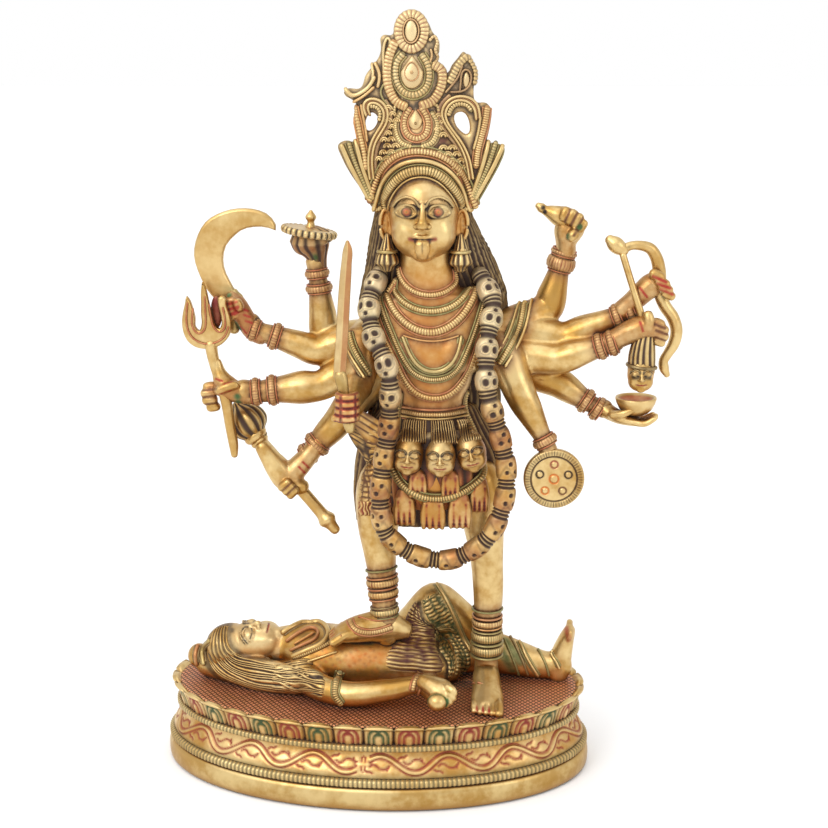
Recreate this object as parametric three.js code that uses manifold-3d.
// A cast brass group: a ten-armed goddess stands with one foot on the chest of a lying man,
// on an oval lotus plinth that is hollow below. Millimetres, +Z up, the front faces -Y.
import * as THREE from "three";
import { mergeVertices } from "three/addons/utils/BufferGeometryUtils.js";
import Module from "manifold-3d";

const wasm = await Module();
wasm.setup();

// Sizes of the plinth
const PLINTH_LENGTH = 207.5;
const PLINTH_DEPTH = 125;
const FOOT_BAND_HEIGHT = 10.5;
const LOWER_RING_HEIGHT = 4.5;
const COVE_HEIGHT = 12;
const UPPER_RING_HEIGHT = 3;
const PETAL_HEIGHT = 9;
const COVE_DEPTH = 6.8;
const RING_BULGE = 1.1;
const FOOT_SETBACK = 2.3;
const FOOT_CHAMFER = 1;
const PETAL_COUNT = 36;
const PETAL_FLARE = 3;
const PETAL_RISE = 1.5;
const PETAL_CLEFT = 1;
const RIM_WIDTH = 2.8;
const PLINTH_WALL = 5;
const DECK_THICKNESS = 6;

// Sizes of the figures
const GROUP_HEIGHT = 316;
const CROWN_THICKNESS = 7;
const BLADE_THICKNESS = 3.4;
const SHIELD_DIAMETER = 28;
const SHIELD_THICKNESS = 4;
const DISC_DIAMETER = 26.5;
const DISC_THICKNESS = 3.6;
const BOWL_DIAMETER = 19;
const BOWL_DISH = 2;
const GARLAND_BEADS = 22;
const GARLAND_BEAD_DIAMETER = 10;
const SEAT_GAP = 0.3;
const FIGURE_TURN_DEGREES = 2;
const FIGURE_OFFSET = 0.6;

// Worked out from them
const COVE_BOTTOM = FOOT_BAND_HEIGHT + LOWER_RING_HEIGHT;
const COVE_TOP = COVE_BOTTOM + COVE_HEIGHT;
const PETAL_BOTTOM = COVE_TOP + UPPER_RING_HEIGHT;
const DECK = PETAL_BOTTOM + PETAL_HEIGHT;

// The figures keep their pose and proportions as shares of the group's height. They are laid out
// on a grid whose line 39 is the deck and whose line 355 is the top of the crown.
const GRID_DECK = 39;
const GRID_TOP = 355;
const GRID = GROUP_HEIGHT / (GRID_TOP - GRID_DECK);
const GAP = SEAT_GAP / GRID;

// Turns a closed geometry into a solid, with its faces outward.
function solid(geometry) {
  geometry.deleteAttribute("normal");
  geometry.deleteAttribute("uv");
  const merged = mergeVertices(geometry, 1e-4);
  const triVerts = new Uint32Array(merged.index.array);
  const vertProperties = merged.attributes.position.array;
  const made = new wasm.Manifold(new wasm.Mesh({ numProp: 3, vertProperties, triVerts }));
  if (made.volume() > 0) {
    return made;
  }
  for (let i = 0; i < triVerts.length; i += 3) {
    [triVerts[i + 1], triVerts[i + 2]] = [triVerts[i + 2], triVerts[i + 1]];
  }
  return new wasm.Manifold(new wasm.Mesh({ numProp: 3, vertProperties, triVerts }));
}

function join(solids) {
  return solids.reduce((whole, piece) => whole.add(piece));
}

function geometryOf(manifold) {
  const mesh = manifold.getMesh();
  const geometry = new THREE.BufferGeometry();
  geometry.setAttribute("position", new THREE.BufferAttribute(mesh.vertProperties, 3));
  geometry.setIndex(new THREE.BufferAttribute(mesh.triVerts, 1));
  return geometry;
}

// A closed body lofted through stations [x, y, z, half width, half thickness]. The width lies along
// "wide", and "steps" rows are set between two stations.
function loft(stations, { sides = 8, steps = 2, wide = [0, 1, 0] } = {}) {
  const spine = new THREE.CatmullRomCurve3(stations.map(([x, y, z]) => new THREE.Vector3(x, y, z)));
  const girth = new THREE.CatmullRomCurve3(
    stations.map(([, , , width, thickness = width]) => new THREE.Vector3(width, thickness, 0)),
  );
  const hint = new THREE.Vector3(...wide);
  const geometry = new THREE.CylinderGeometry(1, 1, 1, sides, (stations.length - 1) * steps);
  const position = geometry.attributes.position;
  const across = new THREE.Vector3();
  const through = new THREE.Vector3();
  for (let i = 0; i < position.count; i++) {
    const along = Math.min(1, Math.max(0, 0.5 - position.getY(i)));
    const back = spine.getTangent(along).negate();
    across.copy(hint).addScaledVector(back, -hint.dot(back)).normalize();
    through.crossVectors(across, back);
    const size = girth.getPoint(along);
    const point = spine.getPoint(along);
    point.addScaledVector(across, position.getX(i) * size.x);
    point.addScaledVector(through, position.getZ(i) * size.y);
    position.setXYZ(i, point.x, point.y, point.z);
  }
  return solid(geometry);
}

function ellipsoid([x, y, z], [rx, ry, rz], around = 8, rows = 6) {
  const geometry = new THREE.SphereGeometry(1, around, rows);
  geometry.rotateX(Math.PI / 2);
  geometry.scale(rx, ry, rz);
  geometry.translate(x, y, z);
  return solid(geometry);
}

// A barrel-shaped band round a limb, centred at a point, with its axis along a direction.
function cuff([x, y, z], [dx, dy, dz], radius, width, sides = 8) {
  const way = new THREE.Vector3(dx, dy, dz).normalize().multiplyScalar(width / 2);
  const bulge = 1.12;
  return loft(
    [
      [x - way.x, y - way.y, z - way.z, radius],
      [x, y, z, radius * bulge],
      [x + way.x, y + way.y, z + way.z, radius],
    ],
    { sides, steps: 1, wide: Math.abs(dy) > Math.hypot(dx, dz) ? [1, 0, 0] : [0, 1, 0] },
  );
}

// An upright plate cut to an outline in X and Z. The outline is a list of runs: a run of two points
// is straight, a longer one is a smooth curve. The back of the plate is at y = back.
function plate(runs, thickness, back) {
  const shape = new THREE.Shape();
  shape.moveTo(...runs[0][0]);
  for (const run of runs) {
    const rest = run.slice(1).map(([x, z]) => new THREE.Vector2(x, z));
    if (rest.length === 1) {
      shape.lineTo(rest[0].x, rest[0].y);
    } else {
      shape.splineThru(rest);
    }
  }
  const geometry = new THREE.ExtrudeGeometry(shape, {
    depth: thickness,
    bevelEnabled: false,
    curveSegments: 1,
  });
  geometry.rotateX(Math.PI / 2);
  geometry.translate(0, back, 0);
  return solid(geometry);
}

// A whole number of round beads strung close together along a smooth path, joined by necks.
function beads(path, wanted, diameter, sides = 5) {
  const curve = new THREE.CatmullRomCurve3(path.map((p) => new THREE.Vector3(...p)));
  const count = Math.round(wanted);
  const neck = diameter * 0.37;
  const stations = [];
  for (let bead = 0; bead < count; bead++) {
    for (const [share, radius] of [[0, neck], [0.5, diameter / 2]]) {
      const p = curve.getPointAt((bead + share) / count);
      stations.push([p.x, p.y, p.z, radius]);
    }
  }
  const end = curve.getPointAt(1);
  stations.push([end.x, end.y, end.z, neck]);
  return loft(stations, { sides, steps: 1 });
}

// The plinth's section, from the deck's edge round the outside to the floor, as [inset from the
// foot's outline, height, share of the petals' waves]
function plinthSection() {
  const flare = COVE_DEPTH - PETAL_FLARE;
  const ringMiddle = FOOT_BAND_HEIGHT + LOWER_RING_HEIGHT / 2;
  return [
    [flare + RIM_WIDTH, DECK, 0],
    [flare, DECK + PETAL_RISE, 1],
    [COVE_DEPTH - PETAL_FLARE * 0.25, PETAL_BOTTOM + PETAL_HEIGHT * 0.45, 0.7],
    [COVE_DEPTH, PETAL_BOTTOM, 0],
    [COVE_DEPTH - RING_BULGE, (COVE_TOP + PETAL_BOTTOM) / 2, 0],
    [(FOOT_SETBACK + COVE_DEPTH) / 2 + 0.8, (COVE_BOTTOM + COVE_TOP) / 2, 0],
    [FOOT_SETBACK - RING_BULGE, ringMiddle, 0],
    [FOOT_SETBACK, FOOT_BAND_HEIGHT, 0],
    [0, FOOT_BAND_HEIGHT * 0.45, 0],
    [FOOT_CHAMFER, 0, 0],
  ];
}

// An oval body from rows [inset from the foot's outline, height, share of the petals' waves], closed
// flat at its first and last row. The columns are spread evenly round the oval, so that petals of
// one width fill it, and every second one is a cleft between two petals.
function oval(rows, columns) {
  const profile = [[PLINTH_LENGTH / 2, rows[0][1]], ...rows, [PLINTH_LENGTH / 2, rows[rows.length - 1][1]]];
  const points = profile.map(([inset, z]) => new THREE.Vector2(PLINTH_LENGTH / 2 - inset, z));
  const geometry = new THREE.LatheGeometry(points, columns);
  const position = geometry.attributes.position;
  const foot = new THREE.EllipseCurve(0, 0, PLINTH_LENGTH / 2, PLINTH_DEPTH / 2);
  for (let i = 0; i < position.count; i++) {
    const column = Math.floor(i / profile.length) % columns;
    const row = i % profile.length;
    const [inset, z, wave = 0] = profile[row];
    const onAxis = row === 0 || row === profile.length - 1;
    const cleft = column % 2 ? 0 : wave;
    const back = inset + cleft * PETAL_CLEFT;
    const angle = 2 * Math.PI * foot.getUtoTmapping(column / columns);
    const x = onAxis ? 0 : (PLINTH_LENGTH / 2 - back) * Math.cos(angle);
    const y = onAxis ? 0 : (PLINTH_DEPTH / 2 - back) * Math.sin(angle);
    position.setXYZ(i, x, y, wave === 1 ? z - cleft * PETAL_RISE : z);
  }
  return solid(geometry);
}

// The plinth, with a hollow under the deck that follows the outside a wall's thickness further in
function pedestal() {
  const hollow = [
    [FOOT_CHAMFER + PLINTH_WALL, -1],
    [FOOT_CHAMFER + PLINTH_WALL, 0],
    [FOOT_SETBACK + PLINTH_WALL, COVE_BOTTOM],
    [COVE_DEPTH + PLINTH_WALL, COVE_TOP],
    [COVE_DEPTH + PLINTH_WALL, DECK - DECK_THICKNESS],
  ];
  return oval(plinthSection(), PETAL_COUNT * 2).subtract(oval(hollow, 32));
}

// The goddess's trunk, neck and head
function trunk() {
  const body = loft(
    [
      [27, -4, 124, 25, 16],
      [26.5, -4, 136, 27, 18],
      [26.5, -4, 152, 25, 18],
      [26, -4, 168, 19.5, 15.5],
      [26, -4, 179, 15.5, 13],
      [26, -4, 189, 18.5, 15],
      [25, -4, 202, 23.5, 16.5],
      [25, -4, 214, 28, 15],
      [25, -4, 224, 27, 11],
      [24, -6, 232, 13, 10],
      [23.7, -7.5, 236.5, 12.4, 11.6],
      [23.5, -8, 240, 9.6, 9],
      [23, -9, 250, 9.6, 9],
    ],
    { sides: 12, steps: 1, wide: [1, 0, 0] },
  );
  const breasts = [13.5, 36].map((x) => ellipsoid([x, -15, 203], [9.5, 9, 9], 7, 4));
  return join([body, ...breasts]);
}

function head() {
  const skull = ellipsoid([22.5, -9, 266], [14.2, 14.5, 21], 10, 6);
  const nose = loft(
    [
      [22.5, -21.5, 270, 1.4, 1.2],
      [22.5, -24.8, 261.5, 3, 1.8],
      [22.5, -21.5, 259, 2, 1.4],
    ],
    { sides: 5, steps: 1, wide: [1, 0, 0] },
  );
  const tongue = loft(
    [
      [22.5, -20.5, 255, 3.4, 1.6],
      [22.5, -23.4, 251.5, 2.6, 1.2],
      [22.5, -23.4, 246.5, 1.4, 0.8],
    ],
    { sides: 5, steps: 1, wide: [1, 0, 0] },
  );
  const ears = [6.5, 38.5].map((x) => ellipsoid([x, -7, 259.5], [2.6, 3, 6.5], 5, 4));
  const earrings = [5, 40.5].map((x) => earring(x));
  return join([skull, nose, tongue, ...ears, ...earrings]);
}

function earring(x) {
  return loft(
    [
      [x, -9.5, 255, 1.6],
      [x, -9.5, 245.5, 4.4],
      [x, -9.5, 243.5, 2.4],
    ],
    { sides: 5, steps: 1, wide: [1, 0, 0] },
  );
}

// Long hair behind the head, shoulders and back
function hair() {
  return loft(
    [
      [22.5, -1, 288, 18, 10],
      [21.5, 0, 268, 22, 11],
      [22.5, 2, 254, 27.3, 9.5],
      [25.2, 4, 239, 33.2, 9],
      [28, 5, 226, 39, 8.5],
      [28, 7, 210, 34, 8],
      [27, 8, 190, 31, 7],
      [27, 9, 165, 33, 8],
    ],
    { sides: 8, steps: 1, wide: [1, 0, 0] },
  );
}

const CROWN_OUTLINE = [
  [[0, 269], [-9.5, 283], [-16, 298]],
  [[-16, 298], [-12.5, 300], [-8, 298.5]],
  [[-8, 298.5], [-9.5, 308], [-8, 316]],
  [[-8, 316], [-13.2, 321]],
  [[-13.2, 321], [-5.5, 322.5], [0.5, 334]],
  [[0.5, 334], [3, 336]],
  [[3, 336], [3, 344.5], [8.5, 344.5]],
  [[8.5, 344.5], [11.5, 353.5], [16.5, 355], [22, 353], [26, 346.5]],
  [[26, 346.5], [29, 343.5], [27.5, 334], [33, 328]],
  [[33, 328], [37, 335], [41.5, 337], [45.5, 329], [45.5, 315.5]],
  [[45.5, 315.5], [52.5, 314], [51.5, 304], [50.5, 297.5]],
  [[50.5, 297.5], [58, 297]],
  [[58, 297], [53.5, 284], [44.5, 268]],
  [[44.5, 268], [36, 281], [23, 285], [9, 281], [0, 269]],
];
const CROWN_HOLES = [
  [[-3.5, 309], [-1, 312.5], [2, 310], [0, 304.5], [-3.5, 303], [-3.5, 309]],
  [[35.5, 311], [40, 312.5], [43, 307], [42.5, 301.5], [36, 307], [35.5, 311]],
];

// The pierced crown plate with its raised jewels, the horseshoe round the largest and two bands
// round the brow
function crown() {
  const back = -3;
  const front = back - CROWN_THICKNESS;
  const jewels = [
    [[16.5, front, 346.5], [4, 2.4, 6.5]],
    [[17.5, front, 322.5], [6, 3.4, 8]],
    [[19, front, 306.5], [3.2, 2.6, 5.4]],
    [[40.5, front, 328], [3.4, 2.4, 6]],
  ].map(([centre, radii]) => ellipsoid(centre, radii, 6, 4));
  const bands = [0, 1].map((tier) =>
    loft(
      [
        [0.5 - 3 * tier, -6, 269 + 8 * tier, 2.8],
        [5.5 - 2 * tier, -17, 279 + 9 * tier, 3],
        [15.5, -23, 286.5 + 9 * tier, 3],
        [29.5, -23, 286.5 + 9 * tier, 3],
        [39 + 2 * tier, -17, 279 + 9 * tier, 3],
        [43.5 + 3 * tier, -6, 269 + 8 * tier, 2.8],
      ],
      { sides: 5, steps: 1, wide: [0, 0, 1] },
    ),
  );
  const cap = loft(
    [
      [22.5, -7, 274, 18, 13],
      [21.5, -6.5, 291, 19, 14],
      [20, -5, 307, 12, 9],
      [17.5, -4.5, 330, 9, 6],
      [15.5, -5, 347, 5, 3],
    ],
    { sides: 8, steps: 1, wide: [1, 0, 0] },
  );
  const holes = CROWN_HOLES.map((hole) => plate([hole], CROWN_THICKNESS + 2, back + 1));
  return join([
    plate(CROWN_OUTLINE, CROWN_THICKNESS, back).subtract(join(holes)),
    cap,
    ...jewels,
    halo(18.3, front, 325.5, 13, 12.5),
    ...bands,
  ]);
}

// A raised horseshoe round a jewel, open below
function halo(x, y, z, width, height) {
  const stations = [-145, -75, 0, 75, 145].map((degrees) => {
    const angle = THREE.MathUtils.degToRad(degrees);
    return [x + width * Math.sin(angle), y, z + height * Math.cos(angle), 2];
  });
  return loft(stations, { sides: 5, steps: 1 });
}

// Each arm is named after what it holds, and given as [shoulder, elbow, wrist, middle of the hand].
const ARMS = {
  discus: [[-13, 6, 203], [-25, 9, 210], [-28, 8, 236], [-29.5, 6, 249]],
  sickle: [[-12, 4, 207], [-28, 2, 201], [-54.5, 0, 208.5], [-64.5, 0, 218.5]],
  trident: [[-13, -1, 193], [-26, -4, 186.5], [-54, -6, 183.2], [-68.5, -8, 184.5]],
  mace: [[-9, 3, 181], [-19.5, 4, 166.5], [-34, 2, 151], [-41.5, -1, 142]],
  sword: [[-6, -5, 208], [-7, -15, 190], [-8, -34, 186], [-8.5, -44, 187]],
  conch: [[68, 5, 216], [80, 9, 222], [84.8, 8, 241], [87, 6, 258]],
  bow: [[67, 4, 212], [88, 2, 209.5], [113, -2, 220.5], [126.5, -4, 229.5]],
  trophy: [[67, -1, 201], [85, -5, 200.5], [105, -8, 207.5], [119.5, -10, 213.5]],
  bowl: [[68, 5, 194], [86, 4, 187], [100, 2, 178], [112, 0, 174]],
  shield: [[59, -8, 203], [68.3, -12, 183], [77.5, -14, 166], [82.5, -15, 154]],
};
const ARM_ROOT_LEFT = [6, 1, 204];
const ARM_ROOT_RIGHT = [44, 1, 204];

// The point at a share of the way from a to b.
function between(a, b, share) {
  return a.map((value, axis) => value + (b[axis] - value) * share);
}

// One limb from inside the shoulder to the end of the fist, with a bangle behind the wrist
function arm([shoulder, elbow, wrist, hand]) {
  const root = shoulder[0] < 20 ? ARM_ROOT_LEFT : ARM_ROOT_RIGHT;
  const pointsForward = elbow[1] - hand[1] > 20;
  return loft(
    [
      [...root, 10],
      [...shoulder, 9.4],
      [...elbow, 7],
      [...between(elbow, wrist, 0.72), 4.9],
      [...between(elbow, wrist, 0.84), 6.4],
      [...wrist, 4.3],
      [...hand, 6],
      [...between(wrist, hand, 1.6), 3.4],
    ],
    { sides: 6, steps: 1, wide: pointsForward ? [1, 0, 1] : [0, 1, 0] },
  );
}

function arms() {
  const knuckles = [
    [[-73, -7, 181.5], [8, 6, 7]],
    [[89.5, 5, 257.5], [6.5, 5.5, 6.5]],
    [[130.5, -4, 231], [6, 5.5, 7.5]],
    [[123, -10, 214], [7.5, 6, 6.5]],
  ].map(([centre, radii]) => ellipsoid(centre, radii, 6, 4));
  return join([...Object.values(ARMS).map(arm), openPalm(), ...knuckles]);
}

// The flat hand under the bowl, palm up
function openPalm() {
  return loft(
    [
      [106, 1, 176, 4.6, 4],
      [113, -1, 172.5, 6.4, 3.4],
      [123, -3, 171, 5.6, 2.4],
      [131, -4, 173.5, 3, 1.8],
    ],
    { steps: 1 },
  );
}

// The discus lies almost flat on its fist, tipped a little to the front.
function discus() {
  const radius = DISC_DIAMETER / 2 / GRID;
  const tip = 0.16;
  const geometry = new THREE.CylinderGeometry(radius, radius, DISC_THICKNESS / GRID, 12);
  geometry.rotateX(Math.PI / 2 + tip);
  geometry.translate(-31.3, 5, 257);
  const finial = loft(
    [
      [-30.5, 5, 257, 2.6],
      [-30.5, 5, 262, 1.8],
      [-30.5, 5, 264, 2.6],
      [-30.5, 5, 266.5, 0.8],
    ],
    { sides: 6, steps: 1 },
  );
  return join([solid(geometry), finial]);
}

function sickle() {
  const outer = [[-69, 222], [-77, 229], [-84, 247], [-78, 262.5], [-61, 268.3], [-50, 266], [-45.6, 259]];
  const inner = [[-45.6, 259], [-56, 260], [-66, 255.5], [-70.5, 246], [-68, 235], [-61, 222]];
  return plate([outer, inner, [inner[inner.length - 1], outer[0]]], BLADE_THICKNESS, 2);
}

function trident() {
  const y = -8;
  const left = [[-79, 203.5], [-87, 208], [-89, 215], [-86.5, 229]];
  const middle = [[-80.5, 225], [-78, 236.5], [-75, 225]];
  const right = [[-69.5, 229.5], [-66.3, 222], [-67, 210], [-74, 203.5]];
  const slots = [
    [[-86.5, 229], [-84.5, 218], [-81.5, 215], [-80.5, 225]],
    [[-75, 225], [-73.5, 216], [-71, 217], [-69.5, 229.5]],
  ];
  const headPlate = plate([left, slots[0], middle, slots[1], right, [right[3], left[0]]], 5, y);
  const shaft = loft(
    [
      [-76.5, y - 2, 209, 3.2],
      [-73, y - 1.5, 188, 3],
      [-66, y - 1, 154, 2.6],
    ],
    { sides: 6, steps: 1 },
  );
  return join([headPlate, shaft, cuff([-75.5, y - 2, 203.5], [0.15, 0, -1], 4, 5)]);
}

function mace() {
  return loft(
    [
      [-66, 2.5, 174, 4],
      [-62, 2, 168, 9],
      [-58, 1.6, 162.5, 7.4],
      [-56.4, 1.4, 160.4, 5],
      [-54.4, 1, 157, 6.6],
      [-52, 0.6, 154.4, 5],
      [-29, -3, 127, 3],
      [-23.5, -3.5, 120.5, 4],
      [-19.5, -4, 115.8, 2.8],
    ],
    { sides: 7, steps: 1 },
  );
}

function sword() {
  const left = [[-12.5, 184], [-16, 206], [-13, 240], [-8.5, 258]];
  const right = [[-8.5, 258], [-7.5, 240], [-9, 206], [-8, 184]];
  const blade = plate([left, right, [right[3], left[0]]], BLADE_THICKNESS, -41);
  const hilt = loft(
    [
      [-9, -43, 173, 2],
      [-9, -43, 176, 3.6],
      [-9, -43, 180, 2.2],
      [-9.6, -43, 193, 2.4],
      [-9.8, -43, 195, 5.4],
      [-10, -43, 197, 2.4],
    ],
    { sides: 6, steps: 1 },
  );
  return join([blade, hilt]);
}

function conch() {
  return loft(
    [
      [95, 5, 255, 2.4],
      [89, 5, 263.5, 5],
      [80, 5, 265.8, 4.2],
      [73.5, 5, 268.5, 2],
    ],
    { sides: 7, steps: 1 },
  );
}

function bow() {
  const limb = loft(
    [
      [106, -8, 253, 3],
      [110, -8, 252.5, 5.2],
      [116, -7, 252.5, 3],
      [125.5, -6, 247.5, 3.6],
      [130.5, -4, 236, 3.8],
      [136, -4, 219, 3],
      [136.5, -5, 206, 3.6],
      [131.5, -6, 192, 2],
    ],
    { sides: 5, steps: 1 },
  );
  const rod = loft([[112, -8, 252, 2.2], [121, -10, 220, 2.4]], { sides: 5, steps: 1 });
  return join([limb, rod]);
}

// A severed head held by its hair
function trophy() {
  return loft(
    [
      [120, -10, 215, 4.4],
      [121.5, -10, 206, 5.4],
      [122, -10, 200, 6.4],
      [122, -10, 192, 6.4],
      [122.5, -10, 186, 3.4],
    ],
    { steps: 1, wide: [1, 0, 0] },
  );
}

function bowl() {
  const radius = BOWL_DIAMETER / 2 / GRID;
  const profile = [[0, -8], [5, -7.4], [8.4, -4], [9.5, 0], [8.3, 0], [5, -BOWL_DISH * 0.8], [0, -BOWL_DISH]];
  const points = profile.map(([r, z]) => new THREE.Vector2((r / 9.5) * radius, z));
  const geometry = new THREE.LatheGeometry(points, 12);
  geometry.rotateX(Math.PI / 2);
  geometry.translate(121, -2, 181.5);
  return solid(geometry);
}

const BOSS_FORM = { sides: 4, steps: 1, wide: [1, 0, 0] };

function shield() {
  const radius = SHIELD_DIAMETER / 2 / GRID;
  const thickness = SHIELD_THICKNESS / GRID;
  const [x, y, z] = [83.1, -17, 146.7];
  const round = new THREE.CylinderGeometry(radius, radius, thickness, 16);
  round.translate(x, y, z);
  const bosses = [];
  for (let i = 0; i < 6; i++) {
    const angle = (i / 6) * 2 * Math.PI;
    const reach = radius * 0.5;
    const middle = [x + reach * Math.cos(angle), y - thickness / 2, z + reach * Math.sin(angle)];
    bosses.push(loft([[...middle, 2.4], [middle[0], middle[1] - 1.2, middle[2], 1.6]], BOSS_FORM));
  }
  const handle = loft([[81, -13, 158, 3.4], [83, -15, 150, 3.4]], { sides: 6, steps: 1 });
  return join([solid(round), handle, ...bosses]);
}

// Necklaces and the collar, as ribs that follow the chest
function necklaces() {
  const rows = [
    [[4, -2, 234], [10, -17, 221], [24.5, -23, 213], [39, -17, 221], [45, -2, 234]],
    [[5, -10, 222], [11, -23, 205], [25, -24, 193], [39, -23, 205], [45, -10, 222]],
  ];
  return join(rows.map((row) => loft(row.map((p) => [...p, 2.6]), { sides: 5, steps: 1 })));
}

const GARLAND_PATH = [
  [2, -4, 239],
  [-2, -13, 228],
  [0, -21, 214],
  [7, -28, 200],
  [8, -26, 178],
  [5, -26, 156],
  [3.5, -27, 137],
  [6, -26, 122],
  [13, -24, 114.3],
  [23, -23, 109.3],
  [34.5, -23, 108.3],
  [45, -24, 112.8],
  [53.5, -26, 121],
  [60, -26, 137],
  [61, -25, 154],
  [57.5, -25, 170],
  [52, -26, 190],
  [52, -20, 213],
  [54, -13, 227],
  [48, -4, 239],
];

// The belt, three severed heads on it and the skirt of hanging hands
function girdle() {
  const belt = loft(
    [
      [26, -4, 171, 18.6, 15.6],
      [26, -4, 174.5, 18.6, 15.8],
      [26, -4, 178, 17, 14.4],
    ],
    { sides: 10, steps: 1, wide: [1, 0, 0] },
  );
  const heads = [[11.5, -20], [27, -23], [43, -20]].map(([x, y]) =>
    loft(
      [
        [x, y + 3, 175, 4.5, 3.5],
        [x, y, 167, 7, 5.5],
        [x, y - 1, 158, 7.2, 6],
        [x, y, 149.5, 3.8, 3.6],
      ],
      { sides: 6, steps: 1, wide: [1, 0, 0] },
    ),
  );
  const hands = [];
  for (let i = 0; i < 5; i++) {
    const x = 7.5 + i * 9.6;
    const y = -17.5 - 4 * Math.sin((Math.PI * (i + 0.5)) / 5);
    hands.push(
      loft(
        [
          [x, y, 141, 4.6, 2.6],
          [x, y, 131, 5, 3],
          [x, y + 0.5, 123, 3.8, 2],
        ],
        { sides: 5, steps: 1, wide: [1, 0, 0] },
      ),
    );
  }
  return join([belt, ...heads, ...hands]);
}

// The cloth and hair that hang behind the hips
function backCloth() {
  return loft(
    [
      [26, 3, 178, 21, 9],
      [24.8, 4, 158, 33, 11],
      [24.5, 4, 137, 36.4, 12],
      [24.8, 4, 116, 35.6, 12],
    ],
    { sides: 8, steps: 1, wide: [1, 0, 0] },
  );
}

// The goddess's right leg, on the left seen from the front, and her foot on the man's chest.
// "grow" widens it, for the seat that it presses in the chest.
function rightLeg(grow = 0) {
  const leg = loft(
    [
      [2.4, -3, 136, 12.2],
      [0.8, -5, 120, 9.7],
      [1.9, -9, 106, 7.8],
      [2.6, -9.6, 99, 6.9],
      [2.8, -10, 95, 8],
      [3, -10, 91, 6.6],
      [4, -11, 80, 5.8],
      [4.2, -11, 75, 7.2],
      [4.8, -11, 69, 6],
    ].map(([x, y, z, r]) => [x, y, z, r + grow]),
    { sides: 7, steps: 1, wide: [1, 0, 0] },
  );
  const foot = loft(
    [
      [12.5, -8.5, 68.5, 5, 4.5],
      [5, -10, 71, 6.2, 7],
      [-6, -13.5, 69, 6.6, 5.6],
      [-15, -17, 66.5, 7, 3.8],
      [-22, -19.5, 65.5, 5, 2.4],
    ].map(([x, y, z, w, t]) => [x, y, z, w + grow, t + grow]),
    { sides: 7, steps: 1 },
  );
  return join([leg, foot]);
}

function leftLeg() {
  const leg = loft(
    [
      [49, -3, 136, 12],
      [51, -4, 120, 9.6],
      [52.8, -7, 104, 7.6],
      [53.5, -8.6, 87, 7],
      [53.5, -9, 82, 8.2],
      [53.4, -9.2, 76, 6.6],
      [53.2, -9.6, 67, 6],
      [53.1, -10, 61, 7.4],
      [53, -10, 55, 5.8],
      [53, -11, 44, 6],
    ],
    { sides: 7, steps: 1, wide: [1, 0, 0] },
  );
  const foot = loft(
    [
      [53, -4, 42.5, 5.4, 4.6],
      [53, -12, 45.5, 6, 7],
      [53.4, -22, 43.5, 6.8, 5],
      [53.6, -33, 41.6, 7.4, 3.6],
      [53.4, -42.5, 41, 5.4, 2.6],
    ],
    { sides: 7, steps: 1, wide: [1, 0, 0] },
  );
  return join([leg, foot]);
}

// What lies above a level of the grid, over the whole plinth
function above(level) {
  const side = 2 * (PLINTH_LENGTH / GRID + GRID_TOP);
  const block = new THREE.BoxGeometry(side, side, side);
  block.translate(0, 0, level + side / 2);
  return solid(block);
}

function goddess() {
  const whole = join([
    trunk(),
    head(),
    hair(),
    crown(),
    arms(),
    discus(),
    sickle(),
    trident(),
    mace(),
    sword(),
    conch(),
    bow(),
    trophy(),
    bowl(),
    shield(),
    necklaces(),
    beads(GARLAND_PATH, GARLAND_BEADS, GARLAND_BEAD_DIAMETER / GRID),
    girdle(),
    backCloth(),
    rightLeg(),
    leftLeg(),
  ]);
  return whole.intersect(above(GRID_DECK + GAP));
}

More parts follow.
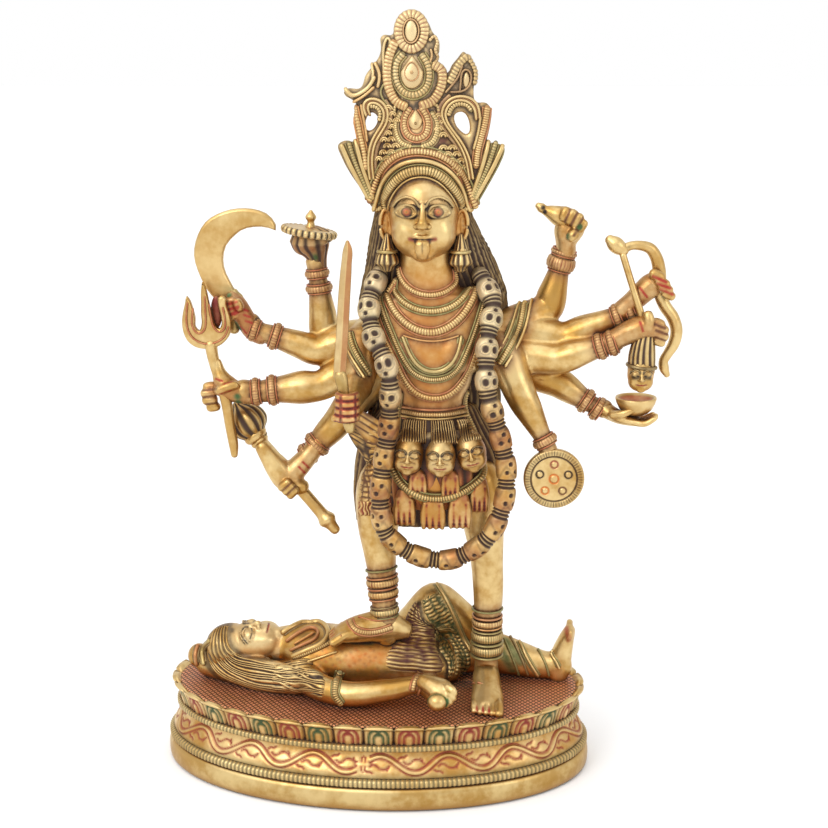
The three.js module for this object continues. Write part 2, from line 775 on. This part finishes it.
// The lying man
function lyingMan() {
  const torso = loft(
    [
      [-46, -2, 57.5, 9, 9.5],
      [-36, -3, 55.5, 17, 12.6],
      [-24, -4, 53.8, 18, 13.8],
      [-8, -5, 52.5, 17, 14.6],
      [8, -3, 50, 17, 13],
      [20, 0, 49, 18, 12],
      [34, 3, 46, 13, 9],
    ],
    { sides: 9, steps: 1 },
  );
  const headBack = loft(
    [
      [-86, -1, 51, 5, 6],
      [-80, -2, 53, 10, 10],
      [-70, -3.5, 54.6, 13, 12],
      [-60, -4.5, 55.5, 12, 12],
      [-50.5, -5, 56, 9, 10],
      [-40, -5, 56, 7.5, 9.5],
    ],
    { sides: 8, steps: 1 },
  );
  const noseTip = ellipsoid([-59.5, -5.5, 66.6], [4.4, 2, 2.6], 6, 4);
  const bun = ellipsoid([-88.5, 1, 49], [6.6, 7, 7], 6, 4);
  const locks = loft(
    [
      [-84, -3, 45, 7, 6],
      [-68, -13, 45, 8, 6],
      [-50, -20, 45, 9, 6],
      [-30, -27, 45, 7, 5.5],
    ],
    { sides: 7, steps: 1 },
  );
  const nearArm = loft(
    [
      [-36, -18, 49, 8],
      [-27, -28, 46.5, 6.6],
      [-12, -35, 45.5, 6],
      [8, -34, 48, 5.2],
      [24, -33, 50, 4.2],
      [30, -39, 47, 5.5],
      [33, -46, 43.5, 4],
    ],
    { sides: 6, steps: 1, wide: [0, 0, 1] },
  );
  const farArm = loft(
    [
      [-34, 8, 50, 7],
      [-22, 20, 46, 6],
      [-4, 23, 45, 5],
      [14, 20, 45, 4.5],
    ],
    { sides: 5, steps: 1, wide: [0, 0, 1] },
  );
  const raisedLeg = loft(
    [
      [12, 4, 50, 12, 12],
      [20, 6, 69, 11, 11],
      [27.5, 8, 79, 9, 7.5],
      [38, 9, 70.5, 8.5, 9.5],
      [50, 9, 58, 8, 9.5],
    ],
    { sides: 7, steps: 1 },
  );
  const cloth = loft(
    [
      [24, 5, 39, 16, 21],
      [25, 6, 55, 14, 17],
      [27, 8, 72, 8, 8],
    ],
    { sides: 7, steps: 1 },
  );
  const farLeg = loft(
    [
      [40, 8, 51, 9, 11],
      [55, 9, 50.5, 9, 11],
      [70, 7, 47, 7.4, 9],
      [80, 5, 45.5, 6.2, 7.6],
      [90, 4, 45, 5.5, 6.5],
    ],
    { sides: 7, steps: 1 },
  );
  const foot = loft(
    [
      [88, 4, 40, 5.5, 5.4],
      [89, 4, 50, 5.6, 5.6],
      [92, 4, 60, 5, 4.2],
      [94.5, 4, 66.5, 3.6, 2.4],
    ],
    { sides: 7, steps: 1 },
  );
  const armlet = cuff([-17, -33.5, 45.7], [1, -0.4, 0], 6.8, 4, 6);
  const wristband = cuff([22, -33, 49.6], [1, 0, 0], 5, 4, 6);
  const whole = join([
    torso,
    headBack,
    noseTip,
    bun,
    locks,
    nearArm,
    farArm,
    raisedLeg,
    cloth,
    farLeg,
    foot,
    armlet,
    wristband,
  ]);
  return whole.subtract(rightLeg(GAP)).intersect(above(GRID_DECK + GAP));
}

function named(name, manifold, material) {
  const mesh = new THREE.Mesh(geometryOf(manifold), material);
  mesh.name = name;
  return mesh;
}

function brass(color) {
  return new THREE.MeshStandardMaterial({ color, roughness: 0.38, metalness: 1 });
}

const group = new THREE.Group();
const plinth = named("pedestal", pedestal(), brass(0xb98a4a));
const figures = new THREE.Group();
figures.add(named("shiva", lyingMan(), brass(0xc79a4e)));
figures.add(named("kali", goddess(), brass(0xcfa150)));
figures.scale.setScalar(GRID);
figures.rotation.z = THREE.MathUtils.degToRad(FIGURE_TURN_DEGREES);
figures.position.z = DECK - GRID_DECK * GRID;
group.add(plinth, figures);

// The goddess stands a little right of the plinth's middle, turned a little on it, and the origin
// lies under the middle of the whole group.
figures.position.x = FIGURE_OFFSET;
const bounds = new THREE.Box3().setFromObject(group, true);
const middle = bounds.getCenter(new THREE.Vector3());
plinth.position.set(-middle.x, -middle.y, 0);
figures.position.x = FIGURE_OFFSET - middle.x;
figures.position.y = -middle.y;

export default group;
